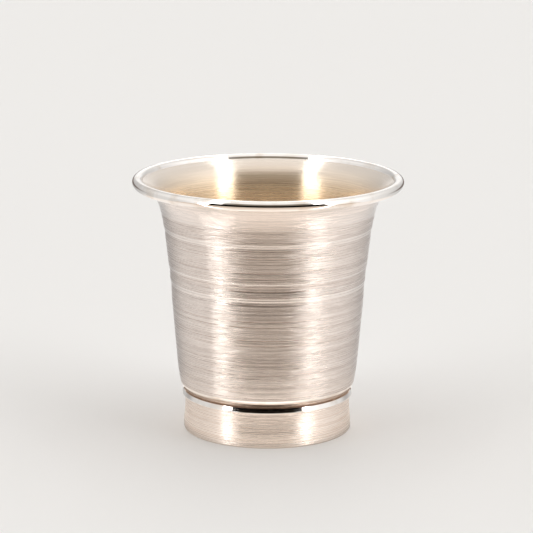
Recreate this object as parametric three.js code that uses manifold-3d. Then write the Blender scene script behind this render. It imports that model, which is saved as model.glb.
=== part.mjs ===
// A sheet-silver tumbler: a spun wall with a rolled lip, on a collar and a hollow foot.
// Millimetres, +Z up along the tumbler's axis, with z = 0 at the plane it stands on.
import * as THREE from 'three';
import { mergeVertices } from 'three/addons/utils/BufferGeometryUtils.js';
import Module from 'manifold-3d';

// Overall sizes
const height = 76;               // standing plane to the top of the lip
const mouthDiameter = 80;        // across the outside of the lip

// Wall, spun from one sheet
const wallGauge = 0.7;
const wallLean = 4.85;           // degrees off upright, along the straight of the wall
const baseDiameter = 52;         // outside of the wall at its lower corner
const baseCorner = 2;            // outside radius of that corner
const tuckLean = 12;             // degrees off upright, just above the corner
const tuckLength = 6;            // along the wall, from the corner to the straight
const seatWidth = 2.4;           // flat of the flange that turns in under the bowl
const flareHeight = 32;          // from the crease inside the lip down to where the wall turns out
const flareRise = 29.6;          // how long the flare keeps the lean of the wall
const flareReach = 5.6;          // how long the flare keeps its slope below the lip
const flareSlope = 37;           // degrees above level, where the flare meets the lip

// Lip, rolled outwards around a wire
const lipThickness = 3.1;        // across the roll
const lipStart = 168;            // degrees around the roll, from its outer side over the top
const creaseRadius = 0.25;       // of the crease between the flare and the roll
const lipSeam = 0.3;             // slit left where the rolled edge comes back to the wall

// Floor of the bowl
const floorGauge = 0.9;

// Collar between the bowl and the foot
const collarInset = 0.55;        // its edge, in from the outside of the wall
const collarHeight = 2.4;        // from the foot up to the bowl
const collarEdge = 0.25;         // radius of its rounded edge
const collarFace = 1.6;          // how far its bright bevelled face goes up
const bevelLean = 11;            // degrees off upright, of that face
const collarLedge = 0.3;         // flat on top of the face, before the hollow of the neck
const spigotWall = 1.5;          // thickness of the ring that goes up into the flange
const spigotDepth = 1.6;         // how far it reaches down into the foot

// Foot
const footHeight = 10.5;
const footInset = 0.5;           // its side, in from the edge of the collar
const footWaist = 0.3;           // how far the band draws in below the collar
const footEdge = 0.45;           // radius of its lower edge
const footThickness = 1.8;
const rebateWidth = 0.5;         // step inside the foot that the base plate goes up against

// Base plate
const plateGauge = 0.8;
const plateRecess = 1;           // its underside above the standing plane
const ventDiameter = 1.2;
const ventOffset = 14;           // from the axis

// Fits and solder
const spigotClearance = 0.1;     // on the radius, of pieces that slide into each other
const wireClearance = 0.15;      // on the radius, around the wire in the lip
const solderFilm = 0.05;         // between a fillet and an upright face
const solderLeg = 0.7;           // size of a fillet, along either face

// Fineness of the facets
const turnSteps = 48;
const quarterSteps = 4;          // per quarter of a small round
const curlSteps = 15;
const creaseSteps = 2;
const flareSteps = 12;
const tuckSteps = 3;

// Places worked out from the sizes
const bowlBase = footHeight + collarHeight;
const seatTop = bowlBase + wallGauge;
const floorTop = seatTop + floorGauge;
const cornerCentre = new THREE.Vector2(baseDiameter / 2 - baseCorner, bowlBase + baseCorner);
const flangeBore = cornerCentre.x - seatWidth;
const floorRadius = cornerCentre.x - spigotClearance;
const lipCentre = new THREE.Vector2((mouthDiameter - lipThickness) / 2, height - lipThickness / 2);
const curlRadius = (lipThickness - wallGauge) / 2;
const collarRadius = baseDiameter / 2 - collarInset;
const upperSpigot = flangeBore - spigotClearance;
const collarBore = upperSpigot - spigotWall;
const footRadius = collarRadius - footInset;
const footBore = footRadius - footThickness;
const rebateRadius = footBore + rebateWidth;
const plateTop = plateRecess + plateGauge;
const spigotEnd = footHeight - spigotDepth;

const wasm = await Module();
wasm.setup();

const point = (radius, level) => new THREE.Vector2(radius, level);
const radians = THREE.MathUtils.degToRad;

// Points of an arc in the plane of an outline, angles in degrees from the outward direction.
function arc(centre, radius, from, to, steps) {
  return Array.from({ length: steps + 1 }, (_, i) => {
    const angle = radians(from + (to - from) * i / steps);
    return point(centre.x + radius * Math.cos(angle), centre.y + radius * Math.sin(angle));
  });
}

// Direction that leans outwards from upright by an angle in degrees.
function leaning(degrees) {
  return point(Math.sin(radians(degrees)), Math.cos(radians(degrees)));
}

function along(start, direction, length) {
  return start.clone().addScaledVector(direction, length);
}

// Line moved sideways, to the right of the way it runs.
function offset(line, distance) {
  return line.map((here, i) => {
    const before = line[Math.max(i - 1, 0)];
    const after = line[Math.min(i + 1, line.length - 1)];
    const way = after.clone().sub(before).normalize();
    return point(here.x + way.y * distance, here.y - way.x * distance);
  });
}

// Solid of revolution about Z. The outline runs anticlockwise, with radius to the right.
function turned(outline) {
  return new THREE.LatheGeometry(outline, turnSteps).rotateX(Math.PI / 2);
}

function turnedRing(outline) {
  return turned([...outline, outline[0].clone()]);
}

function disc(radius, bottom, top) {
  return turned([point(0, bottom), point(radius, bottom), point(radius, top), point(0, top)]);
}

// Points of a curve, closer together towards its end, where the wall bends most.
function crowded(curve, steps) {
  return Array.from({ length: steps + 1 }, (_, i) => curve.getPoint(Math.sin(Math.PI / 2 * i / steps)));
}

// Crease where the flare turns up into the lip: an arc of the sheet's middle line.
function creaseLine() {
  const radius = creaseRadius + wallGauge / 2;
  const centre = arc(lipCentre, curlRadius + radius, lipStart, lipStart, 1)[0];
  return arc(centre, radius, flareSlope - 90, lipStart - 180, creaseSteps);
}

// Middle line of the wall's sheet, from the flange's edge to the start of the lip.
function wallLine() {
  const halfGauge = wallGauge / 2;
  const corner = arc(cornerCentre, baseCorner - halfGauge, -90, -tuckLean, quarterSteps);
  const tuckStart = corner.at(-1);
  const tuckTurn = along(tuckStart, leaning(tuckLean), tuckLength / 2);
  const tuckEnd = along(tuckTurn, leaning(wallLean), tuckLength / 2);
  const tuck = new THREE.QuadraticBezierCurve(tuckStart, tuckTurn, tuckEnd);
  const crease = creaseLine();
  const straightRise = crease[0].y - flareHeight - tuckEnd.y;
  const flareStart = along(tuckEnd, leaning(wallLean), straightRise / leaning(wallLean).y);
  const flare = new THREE.CubicBezierCurve(
    flareStart,
    along(flareStart, leaning(wallLean), flareRise),
    along(crease[0], leaning(90 - flareSlope), -flareReach),
    crease[0],
  );
  return [
    point(flangeBore, bowlBase + halfGauge),
    ...corner,
    ...tuck.getPoints(tuckSteps).slice(1),
    ...crowded(flare, flareSteps),
    ...crease.slice(1),
  ];
}

// Rolled edge of the sheet, from the crease over the top and round until it almost meets the wall.
function curlLine(line) {
  const outside = offset(line, wallGauge / 2);
  let end = lipStart - 180;
  let gap = Infinity;
  while (gap > lipSeam) {
    end -= 1;
    const edge = arc(lipCentre, lipThickness / 2, end, end, 1)[0];
    gap = Math.min(...outside.map((spot) => spot.distanceTo(edge)));
  }
  return arc(lipCentre, curlRadius, lipStart, end, curlSteps);
}

const wall = wallLine();
const wallInside = offset(wall, -wallGauge / 2);

// Radius of the wall's inner face at a height in the lower half of the bowl.
function wallInnerRadius(level) {
  const upper = wallInside.findIndex((spot) => spot.x > cornerCentre.x && spot.y >= level);
  const high = wallInside[upper];
  const low = wallInside[upper - 1];
  return low.x + (high.x - low.x) * (level - low.y) / (high.y - low.y);
}

function bodyWall() {
  const sheet = [...wall, ...curlLine(wall).slice(1)];
  const outside = offset(sheet, wallGauge / 2);
  const inside = offset(sheet, -wallGauge / 2);
  return turnedRing([...outside, ...inside.reverse()]);
}

function rimWire() {
  const radius = curlRadius - wallGauge / 2 - wireClearance;
  return turned(arc(lipCentre, radius, 0, 360, 3 * quarterSteps));
}

// Fillet on top of the floor, filling the corner down beside its edge.
function floorSolder() {
  const wallLevels = [floorTop - floorGauge / 2, floorTop, floorTop + solderLeg];
  const wallSide = wallLevels.map((level) => point(wallInnerRadius(level) - solderFilm, level));
  const floorSide = point(wallSide.at(-1).x - 2 * solderLeg, floorTop);
  const hollow = new THREE.QuadraticBezierCurve(wallSide.at(-1), point(wallSide[1].x, floorTop), floorSide);
  return turnedRing([
    point(floorRadius + solderFilm, floorTop),
    point(floorRadius + solderFilm, wallLevels[0]),
    ...wallSide,
    ...hollow.getPoints(quarterSteps).slice(1),
  ]);
}

// Fillet in the corner below a level face and inside an upright one.
function fillet(uprightRadius, faceLevel) {
  const outer = uprightRadius - solderFilm;
  const hollow = new THREE.QuadraticBezierCurve(
    point(outer - solderLeg, faceLevel),
    point(outer, faceLevel),
    point(outer, faceLevel - solderLeg),
  );
  return turnedRing([point(outer, faceLevel), ...hollow.getPoints(quarterSteps)]);
}

function bevelCollar() {
  const edgeCentre = point(collarRadius - collarEdge, footHeight + collarEdge);
  const edge = arc(edgeCentre, collarEdge, -90, bevelLean, quarterSteps);
  const faceTop = footHeight + collarFace;
  const bevelRise = faceTop - edge.at(-1).y;
  const bevelTop = point(edge.at(-1).x - bevelRise * Math.tan(radians(bevelLean)), faceTop);
  const neck = new THREE.QuadraticBezierCurve(
    point(bevelTop.x - collarLedge, faceTop),
    point(cornerCentre.x, faceTop),
    point(cornerCentre.x, bowlBase),
  );
  const upperEnd = seatTop - spigotClearance;
  const lowerSpigot = footBore - spigotClearance;
  return turnedRing([
    point(collarBore, spigotEnd),
    point(lowerSpigot, spigotEnd),
    point(lowerSpigot, footHeight),
    ...edge,
    bevelTop,
    ...neck.getPoints(quarterSteps),
    point(upperSpigot, bowlBase),
    point(upperSpigot, upperEnd),
    point(collarBore, upperEnd),
  ]);
}

function footBand() {
  const edge = arc(point(footRadius - footEdge, footEdge), footEdge, -90, 0, quarterSteps);
  const side = new THREE.CubicBezierCurve(
    edge.at(-1),
    point(footRadius, footHeight / 2),
    point(footRadius - 2 * footWaist, footHeight / 2),
    point(footRadius - footWaist, footHeight),
  );
  return turnedRing([
    point(rebateRadius, 0),
    ...edge,
    ...side.getPoints(2 * quarterSteps).slice(1),
    point(footBore, footHeight),
    point(footBore, plateTop),
    point(rebateRadius, plateTop),
  ]);
}

function solidOf(geometry) {
  const bare = geometry.clone();
  bare.deleteAttribute('normal');
  bare.deleteAttribute('uv');
  const merged = mergeVertices(bare, 1e-4);
  return new wasm.Manifold(new wasm.Mesh({
    numProp: 3,
    vertProperties: new Float32Array(merged.attributes.position.array),
    triVerts: new Uint32Array(merged.index.array),
  }));
}

function geometryOf(solid) {
  const mesh = solid.getMesh();
  const geometry = new THREE.BufferGeometry();
  geometry.setAttribute('position', new THREE.BufferAttribute(mesh.vertProperties, 3));
  geometry.setIndex(new THREE.BufferAttribute(mesh.triVerts, 1));
  geometry.computeVertexNormals();
  return geometry;
}

function basePlate() {
  const plate = disc(rebateRadius - spigotClearance, plateRecess, plateTop);
  const drill = new THREE.CylinderGeometry(ventDiameter / 2, ventDiameter / 2, 3 * plateGauge, 4 * quarterSteps);
  drill.rotateX(Math.PI / 2);
  drill.translate(ventOffset, 0, plateRecess + plateGauge / 2);
  return geometryOf(solidOf(plate).subtract(solidOf(drill)));
}

function silver(color, roughness) {
  return new THREE.MeshStandardMaterial({ color, roughness, metalness: 1 });
}

const brushedSilver = () => silver(0xd9cabd, 0.38);
const polishedSilver = () => silver(0xeeeae6, 0.06);
const satinSilver = () => silver(0xd6c4ac, 0.32);
const solderSilver = () => silver(0xc4bcb2, 0.45);

const pieces = [
  ['body_wall', bodyWall(), brushedSilver()],
  ['rim_wire', rimWire(), satinSilver()],
  ['cup_floor', disc(floorRadius, seatTop, floorTop), satinSilver()],
  ['floor_solder', floorSolder(), solderSilver()],
  ['bevel_collar', bevelCollar(), polishedSilver()],
  ['collar_solder', fillet(collarBore, seatTop), solderSilver()],
  ['foot_band', footBand(), brushedSilver()],
  ['foot_solder', fillet(footBore, spigotEnd), solderSilver()],
  ['base_plate', basePlate(), satinSilver()],
  ['base_solder', fillet(rebateRadius, plateRecess), solderSilver()],
];

const tumbler = new THREE.Group();
tumbler.name = 'tumbler';
for (const [name, geometry, material] of pieces) {
  const mesh = new THREE.Mesh(geometry, material);
  mesh.name = name;
  tumbler.add(mesh);
}

export default tumbler;
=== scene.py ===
from math import cos, exp, pi, radians, sin, tan

import bpy
from mathutils import Matrix, Vector
from mathutils.geometry import interpolate_bezier


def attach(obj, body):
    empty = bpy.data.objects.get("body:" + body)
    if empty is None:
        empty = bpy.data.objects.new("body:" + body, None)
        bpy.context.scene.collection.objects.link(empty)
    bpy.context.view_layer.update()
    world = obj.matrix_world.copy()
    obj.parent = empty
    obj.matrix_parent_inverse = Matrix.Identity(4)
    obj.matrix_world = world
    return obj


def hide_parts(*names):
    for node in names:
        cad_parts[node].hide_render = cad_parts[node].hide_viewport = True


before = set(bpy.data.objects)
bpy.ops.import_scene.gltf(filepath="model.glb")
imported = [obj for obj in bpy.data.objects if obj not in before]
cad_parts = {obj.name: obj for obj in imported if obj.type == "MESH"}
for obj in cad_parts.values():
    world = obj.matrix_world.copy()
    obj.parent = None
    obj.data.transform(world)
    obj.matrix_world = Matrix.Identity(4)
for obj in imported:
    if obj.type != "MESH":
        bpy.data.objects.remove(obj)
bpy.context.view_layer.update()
scene = bpy.context.scene
scene.view_settings.view_transform = "Standard"
mm = 0.001
print("frame loaded:", len(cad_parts), "solids")


# camera

photoCamera = {
    "lens": 158.86,  # mm
    "sensor": 36.0,  # mm
    "place": (0.0, -0.680, 0.2030),
    "pitch": 12.782,  # degrees down
    "yaw": 0.032,
    "roll": 0.24,
}


def addCamera(settings):
    data = bpy.data.cameras.new("photoCamera")
    data.lens = settings["lens"]
    data.sensor_width = settings["sensor"]
    camera = bpy.data.objects.new("photoCamera", data)
    scene.collection.objects.link(camera)
    yaw = Matrix.Rotation(radians(settings["yaw"]), 4, "Z")
    pitch = Matrix.Rotation(radians(90 - settings["pitch"]), 4, "X")
    roll = Matrix.Rotation(radians(settings["roll"]), 4, "Z")
    camera.matrix_world = Matrix.Translation(settings["place"]) @ yaw @ pitch @ roll
    scene.camera = camera


addCamera(photoCamera)


# node helpers

def setInputs(tree, node, inputs):
    for name, value in inputs.items():
        if isinstance(value, bpy.types.NodeSocket):
            tree.links.new(value, node.inputs[name])
        else:
            node.inputs[name].default_value = value


def addNode(tree, kind, inputs=None, **settings):
    made = tree.nodes.new(kind)
    for name, value in settings.items():
        setattr(made, name, value)
    setInputs(tree, made, inputs or {})
    return made


def outputOf(tree, kind, inputs=None, **settings):
    return addNode(tree, kind, inputs, **settings).outputs[0]


def calc(tree, operation, *values):
    return outputOf(tree, "ShaderNodeMath", dict(enumerate(values)), operation=operation)


def product(tree, first, *others):
    for other in others:
        first = calc(tree, "MULTIPLY", first, other)
    return first


def vectorCalc(tree, operation, *values):
    return outputOf(tree, "ShaderNodeVectorMath", dict(enumerate(values)), operation=operation)


def scaled(tree, colour, share):
    return outputOf(tree, "ShaderNodeVectorMath", {0: colour, "Scale": share}, operation="SCALE")


def lengthOf(tree, vector):
    return addNode(tree, "ShaderNodeVectorMath", {0: vector}, operation="LENGTH").outputs["Value"]


def axesOf(tree, vector):
    return addNode(tree, "ShaderNodeSeparateXYZ", {0: vector}).outputs


def objectPlace(tree):
    return addNode(tree, "ShaderNodeTexCoord").outputs["Object"]


def remap(tree, value, fromLow, fromHigh, toLow=0.0, toHigh=1.0, smooth=False):
    bounds = {"From Min": fromLow, "From Max": fromHigh, "To Min": toLow, "To Max": toHigh}
    kind = "SMOOTHSTEP" if smooth else "LINEAR"
    return outputOf(tree, "ShaderNodeMapRange", {"Value": value, **bounds}, interpolation_type=kind)


def blend(tree, factor, first, second):
    return addNode(tree, "ShaderNodeMix", {0: factor, 6: first, 7: second}, data_type="RGBA").outputs[2]


def newMaterial(name):
    material = bpy.data.materials.new(name)
    material.use_nodes = True
    return material, material.node_tree, material.node_tree.nodes["Principled BSDF"]


# studio

studioTent = {
    "walls": (  # degrees around from the camera, and the brightness there
        (-180, 1.0), (-171, 0.95), (-164, 0.58), (-154, 0.52), (-140, 0.58), (-116, 0.70), (-95, 0.74),
        (-80, 0.75), (-71, 0.84), (-62, 1.0), (-49, 0.30), (46.5, 0.30), (60, 1.25), (74, 1.04),
        (88, 0.98), (108, 0.80), (135, 0.67), (154, 0.62), (164, 0.80), (171, 1.0), (180, 1.0),
    ),
    "frontTint": (1.0, 0.88, 0.72),
    "frontFade": (12.0, 35.0, 1.1, 0.85),  # from and to this elevation, and the share of the light there
    "sideFade": (5.0, 40.0, 1.0, 1.3),
    "lamps": (  # two tall lamps, given like the walls
        (-60.5, 0.0), (-59, 5.4), (-56.5, 5.4), (-54, 0.0),
        (51.2, 0.0), (53.2, 5.4), (55.8, 5.4), (57.5, 0.0),
    ),
    "lampRise": ((-70.0, -42.0), (14.0, 26.0)),  # elevation over which they begin, and then end
    "lampHeads": ((37, 0.0), (40, 3.4), (57.5, 3.4), (61.5, 0.0)),  # their upper parts, which lean back
    "headRise": ((0.0, 6.0), (70.0, 84.0)),
    "headLean": 0.985,  # how far back they meet, as a share of the way to the far wall
    "headDimmed": 0.4,  # their share on the floor, which would otherwise burn out
    "headTaper": (39.0, 1.1),  # degrees they narrow to, and how fast
    "top": (1.02, 1.0, 0.98, 1),
    "topFrom": (50.0, 66.0),  # elevation over which the walls turn into the top
    "table": (1.0, 0.95, 0.91, 1),
    "tableFront": (0.93, 0.81, 0.71, 1),
    "tableTurn": (-0.2, 0.6),  # share of the way to the camera over which the table turns into its front
    "tableFrom": (-33.0, -18.0),  # elevation over which the table turns into the walls
    "shade": (0.05, 0.03, 0.02, 1),  # the dark front of the table, only for the silver
    "shadeEdge": (30.0, 50.0),  # degrees from the camera, where the dark front ends
    "skirting": (0.18, 0.145, 0.13, 1),  # a dark strip along the tent's far wall, only for the silver
    "skirtingRise": ((-10.0, -6.0), (0.0, 4.0)),
    "skirtingFrom": (115.0, 145.0),  # degrees from the camera
}


def sines(angles):
    return [sin(radians(degrees)) for degrees in angles]


def brightnessRamp(tree, around, stops):
    ramp = addNode(tree, "ShaderNodeValToRGB", {0: around})
    made = ramp.color_ramp.elements
    while len(made) < len(stops):
        made.new(1.0)
    for stop, (degrees, brightness) in zip(made, stops):
        stop.position = degrees / 360 + 0.5
        stop.color = (brightness, brightness, brightness, 1)
    return ramp.outputs["Color"]


def between(tree, height, rise):
    begins = remap(tree, height, *sines(rise[0]), smooth=True)
    return product(tree, begins, remap(tree, height, *sines(rise[1]), 1.0, 0.0, smooth=True))


def graded(tree, colour, height, fade):
    return scaled(tree, colour, remap(tree, height, *sines(fade[:2]), *fade[2:], smooth=True))


def rayParts(tree):
    direction = axesOf(tree, addNode(tree, "ShaderNodeTexCoord").outputs["Generated"])
    toFront = calc(tree, "MULTIPLY", direction["Y"], -1.0)
    azimuth = calc(tree, "ARCTAN2", direction["X"], toFront)
    return {
        "across": direction["X"],
        "toFront": toFront,
        "height": direction["Z"],
        "around": calc(tree, "MULTIPLY_ADD", azimuth, 0.5 / pi, 0.5),
        "fromCamera": calc(tree, "ABSOLUTE", azimuth),
        "forSilver": addNode(tree, "ShaderNodeLightPath").outputs["Is Glossy Ray"],
    }


def tentWalls(tree, ray, settings):
    height, forSilver = ray["height"], ray["forSilver"]
    walls = brightnessRamp(tree, ray["around"], settings["walls"])
    front = vectorCalc(tree, "MULTIPLY", walls, settings["frontTint"])
    inFront = remap(tree, ray["fromCamera"], *map(radians, settings["shadeEdge"]), 1.0, 0.0)
    colour = blend(tree, inFront, graded(tree, walls, height, settings["sideFade"]),
                   graded(tree, front, height, settings["frontFade"]))
    below = calc(tree, "LESS_THAN", height, 0.0)
    colour = blend(tree, product(tree, inFront, below, forSilver), colour, settings["shade"])
    behind = remap(tree, ray["fromCamera"], *map(radians, settings["skirtingFrom"]))
    strip = product(tree, behind, between(tree, height, settings["skirtingRise"]), forSilver)
    return blend(tree, strip, colour, settings["skirting"])


def withTopAndTable(tree, ray, colour, settings):
    atTop = remap(tree, ray["height"], *sines(settings["topFrom"]), smooth=True)
    colour = blend(tree, atTop, colour, settings["top"])
    nearFront = remap(tree, ray["toFront"], *settings["tableTurn"])
    table = blend(tree, nearFront, settings["table"], settings["tableFront"])
    aboveTable = remap(tree, ray["height"], *sines(settings["tableFrom"]), smooth=True)
    return blend(tree, aboveTable, table, colour)


def leaningAngle(tree, ray, settings):
    middle, taper = settings["headTaper"]
    aside = calc(tree, "ARCTAN2", ray["across"], calc(tree, "ADD", ray["toFront"], settings["headLean"]))
    # seen from the far wall an angle is half of what it is at the axis, so it counts double
    aside = calc(tree, "MULTIPLY_ADD", calc(tree, "ABSOLUTE", aside), 1 / pi, -middle / 360)
    aside = calc(tree, "MULTIPLY", aside, calc(tree, "MULTIPLY_ADD", ray["height"], taper, 1.0))
    return calc(tree, "ADD", aside, middle / 360 + 0.5)


def withLamps(tree, ray, colour, settings):
    dimmed = remap(tree, ray["forSilver"], 0.0, 1.0, settings["headDimmed"], 1.0)
    for name, rise, turned, share in (
        ("lamps", "lampRise", ray["around"], 1.0),
        ("lampHeads", "headRise", leaningAngle(tree, ray, settings), dimmed),
    ):
        lit = product(tree, between(tree, ray["height"], settings[rise]), share)
        lamp = scaled(tree, brightnessRamp(tree, turned, settings[name]), lit)
        colour = vectorCalc(tree, "ADD", colour, lamp)
    return colour


def addTent(settings):
    world = bpy.data.worlds.new("paleTent")
    world.use_nodes = True
    scene.world = world
    tree = world.node_tree
    tree.nodes.clear()
    ray = rayParts(tree)
    colour = tentWalls(tree, ray, settings)
    colour = withTopAndTable(tree, ray, colour, settings)
    colour = withLamps(tree, ray, colour, settings)
    light = outputOf(tree, "ShaderNodeBackground", {"Color": colour, "Strength": 1.0})
    addNode(tree, "ShaderNodeOutputWorld", {"Surface": light})


addTent(studioTent)


# cards and floor, in metres

def plainMaterial(name, colour, roughness):
    material, tree, surface = newMaterial(name)
    setInputs(tree, surface, {"Base Color": colour, "Roughness": roughness, "Specular IOR Level": 0.0})
    return material, tree, surface


def stagePiece(name, points, faces, material):
    mesh = bpy.data.meshes.new(name)
    mesh.from_pydata(points, [], faces)
    mesh.materials.append(material)
    piece = bpy.data.objects.new(name, mesh)
    scene.collection.objects.link(piece)
    return piece


def stageDisc(name, settings, material):
    steps, radius = settings["steps"], settings["radius"]
    angles = [2 * pi * i / steps for i in range(steps)]
    points = [(radius * cos(angle), radius * sin(angle), settings["level"]) for angle in angles]
    return stagePiece(name, points, [range(steps)], material)


def stageStrip(name, settings, edges, material):
    steps = settings["steps"]
    points = []
    for i in range(steps + 1):
        angle = radians(settings["halfAngle"]) * (2 * i / steps - 1)
        for reach, level in edges:
            points.append((reach * sin(angle), -settings["apex"] - reach * cos(angle), level))
    faces = [(2 * i, 2 * i + 1, 2 * i + 3, 2 * i + 2) for i in range(steps)]
    return stagePiece(name, points, faces, material)


def onlyForSilver(card):
    card.visible_camera = False
    card.visible_diffuse = False
    card.visible_shadow = False


darkFlag = {  # a curved black card, which darkens the middle of the wall
    "apex": 0.0164,  # its edges run from here, ahead of the axis
    "halfAngle": 48.0,
    "radius": 0.15,
    "low": 0.018,
    "high": 0.135,
    "steps": 24,
    "colour": (0.004, 0.003, 0.002, 1),
    "roughness": 0.9,
}


def addFlag(settings):
    material = plainMaterial("darkFlag", settings["colour"], settings["roughness"])[0]
    reach = settings["radius"] - settings["apex"]
    edges = [(reach, settings[level]) for level in ("low", "high")]
    onlyForSilver(stageStrip("darkFlag", settings, edges, material))


lipCard = {  # a level strip ahead of the lip, which shines upwards
    "apex": 0.0,
    "halfAngle": 62.0,
    "inner": 0.0645,
    "outer": 0.130,
    "level": 0.062,
    "steps": 24,
    "colour": (0.72, 0.595, 0.495, 1),
    "unlit": (0, 0, 0, 1),
    "roughness": 0.9,
}


def addLipCard(settings):
    material, tree, surface = plainMaterial("lipCard", settings["unlit"], settings["roughness"])
    underneath = addNode(tree, "ShaderNodeNewGeometry").outputs["Backfacing"]
    setInputs(tree, surface, {
        "Emission Color": settings["colour"],
        "Emission Strength": calc(tree, "SUBTRACT", 1.0, underneath),
    })
    edges = [(settings[reach], settings["level"]) for reach in ("inner", "outer")]
    onlyForSilver(stageStrip("lipCard", settings, edges, material))


whiteCard = {  # a glowing disc on the floor, which fades out
    "radius": 0.078,
    "level": 0.1 * mm,
    "steps": 64,
    "colour": (1.0, 0.93, 0.86, 1),
    "unlit": (0, 0, 0, 1),
    "roughness": 0.9,
    "strength": 0.86,
    "frontStrength": 1.5,
    "frontFrom": (-0.045, -0.01),
    "shadow": (0.0245, 0.031, 0.5),  # the radii over which it brightens, from this share
    "fade": (0.041, 0.068),
}


def addWhiteCard(settings):
    material, tree, surface = plainMaterial("whiteCard", settings["unlit"], settings["roughness"])
    place = objectPlace(tree)
    radius = lengthOf(tree, place)
    ahead = axesOf(tree, place)["Y"]
    shadow = remap(tree, radius, *settings["shadow"], 1.0, smooth=True)
    strengths = settings["frontStrength"], settings["strength"]
    strength = remap(tree, ahead, *settings["frontFrom"], *strengths, smooth=True)
    setInputs(tree, surface, {
        "Emission Color": settings["colour"],
        "Emission Strength": product(tree, strength, shadow),
        "Alpha": remap(tree, radius, *settings["fade"], 1.0, 0.0, smooth=True),
    })
    onlyForSilver(stageDisc("whiteCard", settings, material))


paleFloor = {"radius": 3.5, "level": 0.0, "steps": 64, "colour": (0.84, 0.83, 0.815, 1), "roughness": 0.7}


def addFloor(settings):
    material = plainMaterial("paleFloor", settings["colour"], settings["roughness"])[0]
    floor = stageDisc("paleFloor", settings, material)
    floor.visible_glossy = False  # the silver sees the tent's own pale table


addFlag(darkFlag)
addLipCard(lipCard)
addWhiteCard(whiteCard)
addFloor(paleFloor)
print("studio ready")


# finishes

lineNoise = {
    "sizes": {
        "Pitch": 0.3 * mm,
        "Band Pitch": 1.6 * mm,
        "Scratch Pitch": 0.16 * mm,
        "Around": 0.2,  # how much the lines change around the axis
        "Scratch Around": 8.0,
    },
    "detail": 1.0,
    "roughness": 0.6,
    "contrast": (0.38, 0.62),
}


def newGroup(name, inputs, outputs):
    tree = bpy.data.node_groups.new(name, "ShaderNodeTree")
    for label, start in inputs.items():
        socket = tree.interface.new_socket(label, in_out="INPUT", socket_type="NodeSocketFloat")
        socket.default_value = start
    for label in outputs:
        tree.interface.new_socket(label, in_out="OUTPUT", socket_type="NodeSocketFloat")
    return tree, tree.nodes.new("NodeGroupInput").outputs, tree.nodes.new("NodeGroupOutput").inputs


def turnedLinesGroup(settings):
    tree, given, result = newGroup("turnedLines", settings["sizes"], ("Lines", "Bands", "Scratches"))
    place = axesOf(tree, objectPlace(tree))
    flat = outputOf(tree, "ShaderNodeCombineXYZ", {0: place["X"], 1: place["Y"]})
    heading = axesOf(tree, vectorCalc(tree, "NORMALIZE", flat))
    along = calc(tree, "ADD", place["Z"], lengthOf(tree, flat))  # grows up a wall and out across a floor
    for label, pitch, around in (("Lines", "Pitch", "Around"), ("Bands", "Band Pitch", "Around"),
                                 ("Scratches", "Scratch Pitch", "Scratch Around")):
        spot = outputOf(tree, "ShaderNodeCombineXYZ", {
            0: calc(tree, "MULTIPLY", heading["X"], given[around]),
            1: calc(tree, "MULTIPLY", heading["Y"], given[around]),
            2: calc(tree, "DIVIDE", along, given[pitch]),
        })
        noise = addNode(tree, "ShaderNodeTexNoise", {
            "Vector": spot,
            "Scale": 1.0,
            "Detail": settings["detail"],
            "Roughness": settings["roughness"],
        })
        tree.links.new(remap(tree, noise.outputs["Fac"], *settings["contrast"]), result[label])
    return tree


turnedLines = turnedLinesGroup(lineNoise)

toneShares = {"Lines": 0.55, "Bands": 0.15, "Scratches": 0.3}
acrossLines = 0.25  # turn of the anisotropy, which spreads light across the lines
brushedFinish = {
    "name": "brushedSilver",
    "dark": (0.57, 0.48, 0.43, 1),
    "light": (0.99, 0.905, 0.84, 1),
    "metallic": 1.0,
    "roughness": (0.24, 0.34),
    "anisotropy": 0.88,
    "depth": 0.042 * mm,
    "relief": {"Lines": 1.0, "Bands": 0.15, "Scratches": 0.12},
    "pitch": 0.19 * mm,
    "bandPitch": 1.6 * mm,
    "brightFrom": (65.6 * mm, 66.3 * mm),  # height from which the wall is painted lighter up to the lip, a painted reflection of the bright table below
    "bright": (0.99, 0.93, 0.88, 1),
    "brightShare": 0.5,
    "smoother": 0.75,
    "paintedHighlightLines": (44.65 * mm, 45.45 * mm, 49.9 * mm, 60.75 * mm, 61.5 * mm),  # painted highlights along these turned lines
    "paintedHighlightEdge": (0.12 * mm, 0.42 * mm),
    "paintedHighlightLineShare": 0.75,
}
footFinish = {
    "name": "brushedFootSilver",
    "dark": (0.74, 0.62, 0.54, 1),
    "light": (0.99, 0.89, 0.81, 1),
    "metallic": 1.0,
    "roughness": (0.22, 0.32),
    "anisotropy": 0.80,
    "depth": 0.030 * mm,
    "relief": {"Lines": 1.0, "Bands": 0.15, "Scratches": 0.12},
    "pitch": 0.19 * mm,
    "bandPitch": 1.6 * mm,
}
satinFinish = {
    "name": "satinSilver",
    "dark": (0.70, 0.525, 0.35, 1),
    "light": (0.92, 0.725, 0.51, 1),
    "metallic": 0.75,
    "roughness": (0.20, 0.29),
    "anisotropy": 0.85,
    "depth": 0.012 * mm,
    "relief": {"Lines": 1.0, "Bands": 0.3, "Scratches": 0.2},
    "pitch": 0.30 * mm,
    "bandPitch": 2.0 * mm,
    "brightFrom": (66.0 * mm, 75.4 * mm),  # height over which the satin is painted lighter below the lip, a painted highlight
    "bright": (0.85, 0.79, 0.735, 1),
    "brightShare": 0.8,
    "smoother": 0.75,
    "deepFrom": (46.0 * mm, 62.0 * mm),  # below this height the bowl is less yellow
    "deep": (0.90, 0.86, 0.81, 1),
    "deepShare": 0.9,
}


def weighed(tree, lines, shares):
    total = 0.0
    for label, share in shares.items():
        total = calc(tree, "MULTIPLY_ADD", lines.outputs[label], share, total)
    return total


def bumped(tree, height, depth, strength=1.0):
    return outputOf(tree, "ShaderNodeBump", {"Height": height, "Distance": depth, "Strength": strength})


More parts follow.
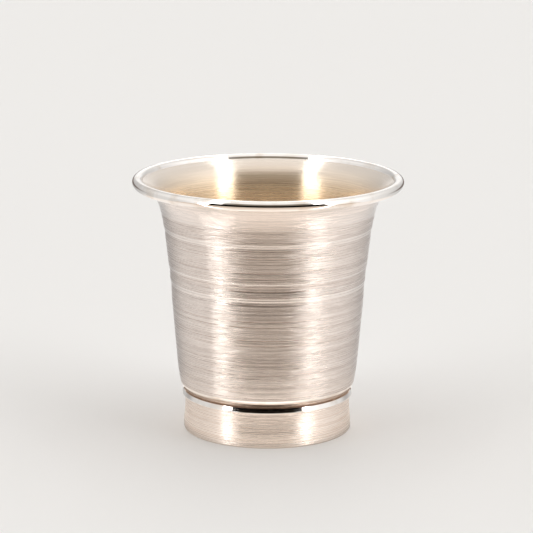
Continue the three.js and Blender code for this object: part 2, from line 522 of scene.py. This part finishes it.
def turnedSilver(settings):
    material, tree, surface = newMaterial(settings["name"])
    pitches = {"Pitch": settings["pitch"], "Band Pitch": settings["bandPitch"]}
    lines = addNode(tree, "ShaderNodeGroup", pitches, node_tree=turnedLines)
    colour = blend(tree, weighed(tree, lines, toneShares), settings["dark"], settings["light"])
    roughness = remap(tree, lines.outputs["Lines"], 0.0, 1.0, *settings["roughness"])
    strength = 1.0
    level = axesOf(tree, objectPlace(tree))["Z"]
    if "deep" in settings:
        share = remap(tree, level, *settings["deepFrom"], settings["deepShare"], 0.0, smooth=True)
        colour = blend(tree, share, colour, settings["deep"])
    # painted highlights: pale colour along the turned lines, where their steps would catch the light
    if "paintedHighlightLines" in settings:
        nearest = 1.0
        for line in settings["paintedHighlightLines"]:
            away = calc(tree, "ABSOLUTE", calc(tree, "SUBTRACT", level, line))
            nearest = calc(tree, "MINIMUM", away, nearest)
        share = remap(tree, nearest, *settings["paintedHighlightEdge"], settings["paintedHighlightLineShare"], 0.0, smooth=True)
        colour = blend(tree, share, colour, settings["bright"])
    # painted highlight: the colour turns lighter towards the lip, and the finish smoother
    if "bright" in settings:
        share = remap(tree, level, *settings["brightFrom"], smooth=True)
        colour = blend(tree, product(tree, share, settings["brightShare"]), colour, settings["bright"])
        strength = remap(tree, share, 0.0, 1.0, 1.0, settings["smoother"])
        roughness = product(tree, roughness, strength)
    setInputs(tree, surface, {
        "Base Color": colour,
        "Roughness": roughness,
        "Metallic": settings["metallic"],
        "Normal": bumped(tree, weighed(tree, lines, settings["relief"]), settings["depth"], strength),
        "Tangent": outputOf(tree, "ShaderNodeTangent", direction_type="RADIAL", axis="Z"),
        "Anisotropic": settings["anisotropy"],
        "Anisotropic Rotation": acrossLines,
    })
    return material


polishedFinish = {
    "name": "polishedSilver",
    "clean": (0.95, 0.905, 0.86, 1),
    "dull": (0.84, 0.76, 0.68, 1),
    "roughness": (0.03, 0.10),
    "cloudScale": 160.0,
    "cloudDetail": 3.0,
    "haze": (0.48, 0.72),
}


def cloudNoise(tree, scale, detail):
    return addNode(tree, "ShaderNodeTexNoise", {
        "Vector": objectPlace(tree), "Scale": scale, "Detail": detail}).outputs["Fac"]


def polishedSilver(settings):
    material, tree, surface = newMaterial(settings["name"])
    lines = addNode(tree, "ShaderNodeGroup", node_tree=turnedLines)
    cloud = cloudNoise(tree, settings["cloudScale"], settings["cloudDetail"])
    haze = remap(tree, cloud, *settings["haze"], smooth=True)
    setInputs(tree, surface, {
        "Base Color": blend(tree, haze, settings["clean"], settings["dull"]),
        "Roughness": remap(tree, lines.outputs["Lines"], 0.0, 1.0, *settings["roughness"]),
        "Metallic": 1.0,
    })
    return material


solderGrain = {"scale": 700.0, "detail": 3.0, "depth": 0.04 * mm}
# painted shade: a dark brown finish for the recess between the body and the collar
recessShadeFinish = {
    "name": "recessShadeSilver",
    "dark": (0.44, 0.33, 0.26, 1),
    "light": (0.72, 0.57, 0.47, 1),
    "roughness": (0.34, 0.5),
}
solderFinish = {
    "name": "solder",
    "dark": (0.50, 0.46, 0.41, 1),
    "light": (0.70, 0.66, 0.60, 1),
    "roughness": (0.38, 0.55),
}


def grainySilver(settings):
    material, tree, surface = newMaterial(settings["name"])
    grain = cloudNoise(tree, solderGrain["scale"], solderGrain["detail"])
    setInputs(tree, surface, {
        "Base Color": blend(tree, grain, settings["dark"], settings["light"]),
        "Roughness": remap(tree, grain, 0.0, 1.0, *settings["roughness"]),
        "Metallic": 1.0,
        "Normal": bumped(tree, grain, solderGrain["depth"]),
    })
    return material


brushed = turnedSilver(brushedFinish)
brushedFoot = turnedSilver(footFinish)
satin = turnedSilver(satinFinish)
polished = polishedSilver(polishedFinish)
recessShade = grainySilver(recessShadeFinish)
solder = grainySilver(solderFinish)
print("finishes ready")


# lathe

latheSize = {
    "segments": 192,
    "merge": 0.0005 * mm,
    "sharpFrom": 40.0,  # degrees
}
zoneNames = ("First", "Second", "Third", "Fourth")


def latheInputs(tree):
    face = tree.interface
    face.new_socket("Geometry", in_out="INPUT", socket_type="NodeSocketGeometry")
    face.new_socket("Segments", in_out="INPUT", socket_type="NodeSocketInt")
    face.new_socket("First Finish", in_out="INPUT", socket_type="NodeSocketMaterial")
    for zone in zoneNames[1:]:
        face.new_socket(zone + " From", in_out="INPUT", socket_type="NodeSocketInt")
        face.new_socket(zone + " Finish", in_out="INPUT", socket_type="NodeSocketMaterial")
    face.new_socket("Geometry", in_out="OUTPUT", socket_type="NodeSocketGeometry")
    return tree.nodes.new("NodeGroupInput").outputs


def turnedGrid(tree, given):
    outline, segments = given["Geometry"], given["Segments"]
    count = addNode(tree, "GeometryNodeAttributeDomainSize", {0: outline}).outputs["Point Count"]
    columns = calc(tree, "ADD", segments, 1.0)
    grid = outputOf(tree, "GeometryNodeMeshGrid", {"Vertices X": columns, "Vertices Y": count})
    index = outputOf(tree, "GeometryNodeInputIndex")
    row = calc(tree, "FLOORED_MODULO", index, count)
    column = calc(tree, "FLOOR", calc(tree, "DIVIDE", calc(tree, "ADD", index, 0.5), count))
    angle = calc(tree, "MULTIPLY", calc(tree, "DIVIDE", column, segments), 2 * pi)
    here = axesOf(tree, outputOf(tree, "GeometryNodeSampleIndex", {
        "Geometry": outline,
        "Value": outputOf(tree, "GeometryNodeInputPosition"),
        "Index": row,
    }, data_type="FLOAT_VECTOR", domain="POINT"))
    spot = outputOf(tree, "ShaderNodeCombineXYZ", {
        0: calc(tree, "MULTIPLY", here["X"], calc(tree, "COSINE", angle)),
        1: calc(tree, "MULTIPLY", here["X"], calc(tree, "SINE", angle)),
        2: here["Z"],
    })
    marked = outputOf(tree, "GeometryNodeStoreNamedAttribute", {
        "Geometry": grid,
        "Name": "outlineStep",
        "Value": calc(tree, "FLOORED_MODULO", index, calc(tree, "SUBTRACT", count, 1.0)),
    }, data_type="FLOAT", domain="FACE")
    return outputOf(tree, "GeometryNodeSetPosition", {"Geometry": marked, "Position": spot})


def seamClosed(tree, turned, settings):
    merged = outputOf(tree, "GeometryNodeMergeByDistance", {
        "Geometry": turned, "Distance": settings["merge"]})
    smooth = outputOf(tree, "GeometryNodeSetShadeSmooth", {
        "Geometry": merged, "Shade Smooth": True}, domain="FACE")
    edgeAngle = addNode(tree, "GeometryNodeInputMeshEdgeAngle").outputs["Unsigned Angle"]
    isSharp = outputOf(tree, "FunctionNodeCompare", {
        0: edgeAngle, 1: radians(settings["sharpFrom"])}, operation="GREATER_THAN")
    return outputOf(tree, "GeometryNodeSetShadeSmooth", {
        "Geometry": smooth, "Selection": isSharp, "Shade Smooth": False}, domain="EDGE")


def inFinishes(tree, closed, given):
    step = outputOf(tree, "GeometryNodeInputNamedAttribute", {"Name": "outlineStep"}, data_type="FLOAT")
    real = outputOf(tree, "GeometryNodeRealizeInstances", {0: closed})
    shown = outputOf(tree, "GeometryNodeSetMaterial", {"Geometry": real, "Material": given["First Finish"]})
    for zone in zoneNames[1:]:
        past = outputOf(tree, "FunctionNodeCompare", {
            0: step, 1: given[zone + " From"]}, operation="GREATER_EQUAL")
        shown = outputOf(tree, "GeometryNodeSetMaterial", {
            "Geometry": shown, "Selection": past, "Material": given[zone + " Finish"]})
    return outputOf(tree, "GeometryNodeRemoveAttribute", {"Geometry": shown, "Name": "outlineStep"})


def latheTree(settings):
    tree = bpy.data.node_groups.new("lathe", "GeometryNodeTree")
    given = latheInputs(tree)
    closed = seamClosed(tree, turnedGrid(tree, given), settings)
    addNode(tree, "NodeGroupOutput", {0: inFinishes(tree, closed, given)})
    return tree


lathe = latheTree(latheSize)


def turn(name, outline, zones):
    mesh = bpy.data.meshes.new(name)
    places = [(here.x * mm, 0, here.y * mm) for here in outline]
    mesh.from_pydata(places, [(i, i + 1) for i in range(len(places) - 1)], [])
    piece = bpy.data.objects.new(name, mesh)
    scene.collection.objects.link(piece)
    modifier = piece.modifiers.new("lathe", "NODES")
    modifier.node_group = lathe
    inputs = {"Segments": latheSize["segments"]}
    unused = (len(outline), zones[-1][1])  # begins past the outline's end
    for zone, (start, finish) in zip(zoneNames, zones + len(zoneNames) * [unused]):
        inputs[zone + " From"] = start
        inputs[zone + " Finish"] = finish
    for socket in lathe.interface.items_tree:
        if socket.in_out == "INPUT" and socket.name in inputs:
            modifier[socket.identifier] = inputs[socket.name]
    bpy.context.view_layer.update()
    turned = bpy.data.meshes.new_from_object(piece.evaluated_get(bpy.context.evaluated_depsgraph_get()))
    piece.modifiers.remove(modifier)
    turned.materials.pop(index=0)  # the grid's own empty slot
    piece.data = turned
    return piece


def dress(piece, slotName, *nodes):
    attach(piece, "root")
    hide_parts(*nodes)
    print(piece.name, "turned:", len(piece.data.polygons), "faces")


# outlines, in mm, radius and height

def corners(*pairs):
    return [Vector(pair) for pair in pairs]


def spread(start, end, steps):
    return [start + (end - start) * i / steps for i in range(steps + 1)]


def arcPoints(centre, radius, start, end, steps):
    angles = [radians(a) for a in spread(start, end, steps)]
    return [centre + radius * Vector((cos(a), sin(a))) for a in angles]


def bend(start, corner, end, steps):
    return interpolate_bezier(start, start.lerp(corner, 2 / 3), end.lerp(corner, 2 / 3), end, steps)


def leaning(degrees):
    return Vector((sin(radians(degrees)), cos(radians(degrees))))


def offsetLine(line, distance):
    moved = []
    for i, here in enumerate(line):
        way = (line[min(i + 1, len(line) - 1)] - line[max(i - 1, 0)]).normalized()
        moved.append(here + distance * Vector((way.y, -way.x)))
    return moved


def thinned(line, spacing):
    kept = line[:1]
    for here in line[1:-1]:
        if (here - kept[-1]).length >= spacing(here.y):
            kept.append(here)
    return kept + line[-1:]


tumblerWall = {
    "height": 76.0,
    "mouthDiameter": 80.0,
    "gauge": 0.7,
    "lean": 4.85,
    "baseDiameter": 52.0,
    "baseLevel": 12.9,
    "corner": 2.0,
    "cornerSteps": 12,
    "tuckLean": 12.0,
    "tuckLength": 6.0,
    "tuckSteps": 160,
    "seatWidth": 2.4,
    "straightSteps": 600,
    "flareHeight": 32.0,
    "flareRise": 29.6,
    "flareReach": 5.6,
    "flareSlope": 37.0,
    "flareSteps": 900,
    "lip": 3.1,
    "lipStart": 168.0,
    "lipEnd": -111.0,
    "lipSteps": 44,
    "crease": 0.25,
    "creaseSteps": 6,
    "spacing": 0.8,
    "lineSpacing": 0.07,
    "turnedLines": (  # height of a small step that faces down, its rise, its depth, and the run below it
        (40.1, 0.30, 0.050, 1.0),
        (44.65, 0.44, 0.145, 4.6),
        (45.45, 0.46, 0.145, 5.2),
        (48.85, 0.36, 0.115, 4.0),
        (49.9, 0.46, 0.135, 5.0),
        (60.75, 0.38, 0.140, 2.4),
        (61.5, 0.34, 0.085, 3.0),
        (63.8, 0.35, 0.070, 1.6),
        (65.9, 0.35, 0.090, 1.6),
    ),
    "shoulderLine": (17.0, 0.35, 0.05),  # height, half width and depth of the groove above the corner
}


def lineDepth(level, size):
    middle, halfWidth, depth = size["shoulderLine"]
    total = depth * exp(-((level - middle) / halfWidth) ** 2)
    for top, rise, step, run in size["turnedLines"]:
        above = (level - top) / rise + 0.5  # share of the step's rise
        below = (level - top + rise / 2) / run + 1  # share of the run up to it
        if 0 < above < 1:
            total += step * (1 - above)
        elif 0 < below <= 1:
            total += step * below
    return total


def sheetLines(size):  # the middle of the sheet, as three lines: base, side and lip
    half = size["gauge"] / 2
    cornerCentre = Vector((size["baseDiameter"] / 2 - size["corner"], size["baseLevel"] + size["corner"]))
    corner = arcPoints(cornerCentre, size["corner"] - half, -90, -size["tuckLean"], size["cornerSteps"])
    tuckTurn = corner[-1] + leaning(size["tuckLean"]) * size["tuckLength"] / 2
    tuckEnd = tuckTurn + leaning(size["lean"]) * size["tuckLength"] / 2
    tuck = bend(corner[-1], tuckTurn, tuckEnd, size["tuckSteps"])
    lipCentre = Vector(((size["mouthDiameter"] - size["lip"]) / 2, size["height"] - size["lip"] / 2))
    curl = (size["lip"] - size["gauge"]) / 2
    creaseRadius = size["crease"] + half
    creaseCentre = arcPoints(lipCentre, curl + creaseRadius, size["lipStart"], size["lipStart"], 1)[0]
    crease = arcPoints(creaseCentre, creaseRadius, size["flareSlope"] - 90, size["lipStart"] - 180,
                       size["creaseSteps"])
    rise = (crease[0].y - size["flareHeight"] - tuckEnd.y) / leaning(size["lean"]).y
    flareStart = tuckEnd + leaning(size["lean"]) * rise
    flareOut = flareStart + leaning(size["lean"]) * size["flareRise"]
    flareIn = crease[0] - leaning(90 - size["flareSlope"]) * size["flareReach"]
    flare = interpolate_bezier(flareStart, flareOut, flareIn, crease[0], size["flareSteps"])
    straight = [tuckEnd.lerp(flareStart, share) for share in spread(0, 1, size["straightSteps"])]
    base = corners((cornerCentre.x - size["seatWidth"], size["baseLevel"] + half)) + corner
    side = corner[-1:] + tuck[1:] + straight[1:] + flare[1:]
    curled = arcPoints(lipCentre, curl, size["lipStart"], size["lipEnd"], size["lipSteps"])
    return base, side, flare[-1:] + crease[1:] + curled[1:]


def wallOutline(size):
    half = size["gauge"] / 2
    base, side, lip = sheetLines(size)
    middle, halfWidth = size["shoulderLine"][:2]

    def outsideSpacing(level):
        near = any(abs(level - line[0]) < line[1] for line in size["turnedLines"])
        return size["lineSpacing"] if near or abs(level - middle) < 2 * halfWidth else size["spacing"]

    outside = thinned(offsetLine(side, half), outsideSpacing)
    outside = [here - Vector((lineDepth(here.y, size), 0)) for here in outside]
    inside = thinned(offsetLine(side, -half), lambda level: size["spacing"])[::-1]
    outline = offsetLine(base, half)
    zones = [(0, polished), (len(outline) - 1, brushed)]
    outline += outside[1:]
    zones.append((len(outline) - 1, polished))
    outline += offsetLine(lip, half)[1:] + offsetLine(lip, -half)[::-1]
    zones.append((len(outline) - 1, satin))
    outline += inside[1:] + offsetLine(base, -half)[::-1][1:]
    return outline + outline[:1], zones


dress(turn("spunWall", *wallOutline(tumblerWall)), "brushed_silver", "body_wall")

collar = {
    "radius": 25.45,
    "bottom": 10.5,
    "top": 12.9,
    "edge": 0.25,
    "edgeSteps": 10,
    "faceTop": 12.1,
    "faceLean": 11.0,
    "faceSteps": 6,
    "ledge": 0.3,
    "neck": 24.0,
    "neckSteps": 10,
    "bore": 20.0,
    "upperSpigot": 21.5,
    "upperEnd": 13.5,
    "lowerSpigot": 23.05,
    "lowerEnd": 8.9,
}


def collarOutline(size):
    edgeCentre = Vector((size["radius"] - size["edge"], size["bottom"] + size["edge"]))
    edge = arcPoints(edgeCentre, size["edge"], -90, size["faceLean"], size["edgeSteps"])
    rise = size["faceTop"] - edge[-1].y
    faceTop = Vector((edge[-1].x - rise * tan(radians(size["faceLean"])), size["faceTop"]))
    face = [edge[-1].lerp(faceTop, share) for share in spread(0, 1, size["faceSteps"])]
    ledgeEnd = Vector((faceTop.x - size["ledge"], faceTop.y))
    neckTop = Vector((size["neck"], size["top"]))
    neck = bend(ledgeEnd, Vector((size["neck"], size["faceTop"])), neckTop, size["neckSteps"])
    lower, upper = size["lowerSpigot"], size["upperSpigot"]
    outline = corners((size["bore"], size["lowerEnd"]), (lower, size["lowerEnd"]), (lower, size["bottom"]))
    outline += edge + face[1:]
    # the collar's ledge and neck, in the recess under the body, take the painted shade
    zones = [(0, polished), (len(outline), recessShade)]
    outline += neck
    outline += corners((upper, size["top"]), (upper, size["upperEnd"]), (size["bore"], size["upperEnd"]))
    return outline + outline[:1], zones


dress(turn("bevelCollar", *collarOutline(collar)), "polished_silver", "bevel_collar")

footBand = {
    "radius": 24.95,
    "height": 10.5,
    "waist": 0.3,
    "sideSteps": 36,
    "edge": 0.45,
    "edgeSteps": 10,
    "bore": 23.15,
    "rebate": 23.65,
    "plateTop": 1.8,
}


def footOutline(size):
    outer, top, waist = size["radius"], size["height"], size["waist"]
    edgeCentre = Vector((outer - size["edge"], size["edge"]))
    edge = arcPoints(edgeCentre, size["edge"], -90, 0, size["edgeSteps"])
    waisted = corners((outer, top / 2), (outer - 2 * waist, top / 2), (outer - waist, top))
    side = interpolate_bezier(edge[-1], *waisted, size["sideSteps"])
    outline = corners((size["rebate"], 0)) + edge + side[1:]
    outline += corners((size["bore"], top), (size["bore"], size["plateTop"]))
    outline += corners((size["rebate"], size["plateTop"]))
    return outline + outline[:1], [(0, brushedFoot)]


dress(turn("footBand", *footOutline(footBand)), "brushed_silver", "foot_band")

bowlFloor = {"radius": 23.9, "bottom": 13.6, "top": 14.5, "steps": 24}


def floorOutline(size):
    radius, top = size["radius"], size["top"]
    rim = corners((0, size["bottom"]), (radius, size["bottom"]), (radius, top))
    return rim + [Vector((r, top)) for r in spread(radius, 0, size["steps"])[1:]], [(0, satin)]


dress(turn("bowlFloor", *floorOutline(bowlFloor)), "satin_silver", "cup_floor")


carriedOver = {
    "rim_wire": satin,
    "floor_solder": solder,
    "collar_solder": solder,
    "foot_solder": solder,
    "base_plate": satin,
    "base_solder": solder,
}
for node, finish in carriedOver.items():
    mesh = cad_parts[node].data
    mesh.materials.clear()
    mesh.materials.append(finish)
print("solids carried over:", len(carriedOver))
